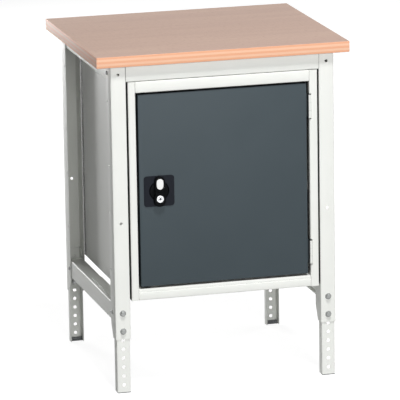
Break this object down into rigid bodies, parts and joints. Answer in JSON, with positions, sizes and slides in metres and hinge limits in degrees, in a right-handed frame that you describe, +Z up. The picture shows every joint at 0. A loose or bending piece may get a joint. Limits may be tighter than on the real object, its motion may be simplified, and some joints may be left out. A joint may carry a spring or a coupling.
{
  "type": "workbench with cupboard",
  "caption": "Workbench with a beech multiplex top on a folded steel frame, a lockable steel cupboard under it, and bolted legs that set its working height.",
  "frame": {"origin": "on the floor, below the middle of the worktop, with the legs fully drawn out", "axes": "+X to the right as seen from the front, +Y towards the back, +Z up; the cupboard's door faces -Y"},
  "size_m": [0.7, 0.6, 0.93],
  "materials": {
    "light_grey_powder_coat": "satin powder coat",
    "anthracite_powder_coat": "fine textured powder coat",
    "beech_multiplex": "oiled, with a layered edge",
    "zinc_plated_steel": "zinc plated",
    "black_nylon": "moulded, finely textured",
    "dark_dish_plastic": "moulded",
    "pale_insert_plastic": "moulded, smooth",
    "chromed_lock": "polished chrome",
    "buffer_rubber": "matt"
  },
  "bodies": {
    "frame": {"worktop": "beech_multiplex", "upright_front_left": "light_grey_powder_coat", "upright_front_right": "light_grey_powder_coat", "upright_rear_left": "light_grey_powder_coat", "upright_rear_right": "light_grey_powder_coat", "leg_bolt_front_left_lower": "zinc_plated_steel", "leg_bolt_front_left_upper": "zinc_plated_steel", "leg_bolt_front_right_lower": "zinc_plated_steel", "leg_bolt_front_right_upper": "zinc_plated_steel", "leg_bolt_rear_left_lower": "zinc_plated_steel", "leg_bolt_rear_left_upper": "zinc_plated_steel", "leg_bolt_rear_right_lower": "zinc_plated_steel", "leg_bolt_rear_right_upper": "zinc_plated_steel", "side_rail_upper_left": "light_grey_powder_coat", "side_rail_upper_right": "light_grey_powder_coat", "side_rail_lower_left": "light_grey_powder_coat", "side_rail_lower_right": "light_grey_powder_coat", "front_rail": "light_grey_powder_coat", "rear_rail": "light_grey_powder_coat", "cabinet_support_left": "light_grey_powder_coat", "cabinet_support_right": "light_grey_powder_coat", "cabinet_side_left": "light_grey_powder_coat", "cabinet_side_right": "light_grey_powder_coat", "cabinet_top": "light_grey_powder_coat", "cabinet_floor": "light_grey_powder_coat", "cabinet_plinth": "light_grey_powder_coat", "cabinet_back": "light_grey_powder_coat", "shelf": "light_grey_powder_coat", "shelf_bearer_left": "light_grey_powder_coat", "shelf_bearer_right": "light_grey_powder_coat", "hinge_frame_leaf_upper": "light_grey_powder_coat", "hinge_frame_leaf_lower": "light_grey_powder_coat", "hinge_pin_upper": "zinc_plated_steel", "hinge_pin_lower": "zinc_plated_steel", "strike_plate": "zinc_plated_steel", "door_buffer_upper": "buffer_rubber", "door_buffer_lower": "buffer_rubber"},
    "door": {"door_panel": "anthracite_powder_coat", "door_stiffener": "anthracite_powder_coat", "hinge_door_leaf_upper": "light_grey_powder_coat", "hinge_door_leaf_lower": "light_grey_powder_coat", "handle_dish": "dark_dish_plastic", "dish_clamp": "zinc_plated_steel"},
    "handle": {"turn_handle": "black_nylon", "handle_insert": "pale_insert_plastic", "lock_barrel": "chromed_lock", "handle_spindle": "zinc_plated_steel", "latch_cam": "zinc_plated_steel", "cam_nut": "zinc_plated_steel"},
    "lock": {"lock_plug": "chromed_lock"},
    "leg_front_left": {"lower_leg_front_left": "light_grey_powder_coat", "foot_front_left": "black_nylon"},
    "leg_front_right": {"lower_leg_front_right": "light_grey_powder_coat", "foot_front_right": "black_nylon"},
    "leg_rear_left": {"lower_leg_rear_left": "light_grey_powder_coat", "foot_rear_left": "black_nylon"},
    "leg_rear_right": {"lower_leg_rear_right": "light_grey_powder_coat", "foot_rear_right": "black_nylon"}
  },
  "joints": [
    {"name": "door_hinge", "type": "hinge", "parent": "frame", "child": "door", "pos_m": [0.2413, -0.2849, 0.5555], "axis": [0, 0, 1], "range_deg": [0, 110]},
    {"name": "handle_turn", "type": "hinge", "parent": "door", "child": "handle", "pos_m": [-0.1808, -0.28, 0.55255], "axis": [0, 1, 0], "range_deg": [0, 90]},
    {"name": "lock_turn", "type": "hinge", "parent": "handle", "child": "lock", "pos_m": [-0.1808, -0.29, 0.53245], "axis": [0, 1, 0], "range_deg": [0, 90]},
    {"name": "leg_front_left_slide", "type": "slide", "parent": "frame", "child": "leg_front_left", "axis": [0, 0, 1], "range_m": [0, 0.15]},
    {"name": "leg_front_right_slide", "type": "slide", "parent": "frame", "child": "leg_front_right", "axis": [0, 0, 1], "range_m": [0, 0.15]},
    {"name": "leg_rear_left_slide", "type": "slide", "parent": "frame", "child": "leg_rear_left", "axis": [0, 0, 1], "range_m": [0, 0.15]},
    {"name": "leg_rear_right_slide", "type": "slide", "parent": "frame", "child": "leg_rear_right", "axis": [0, 0, 1], "range_m": [0, 0.15]}
  ]
}
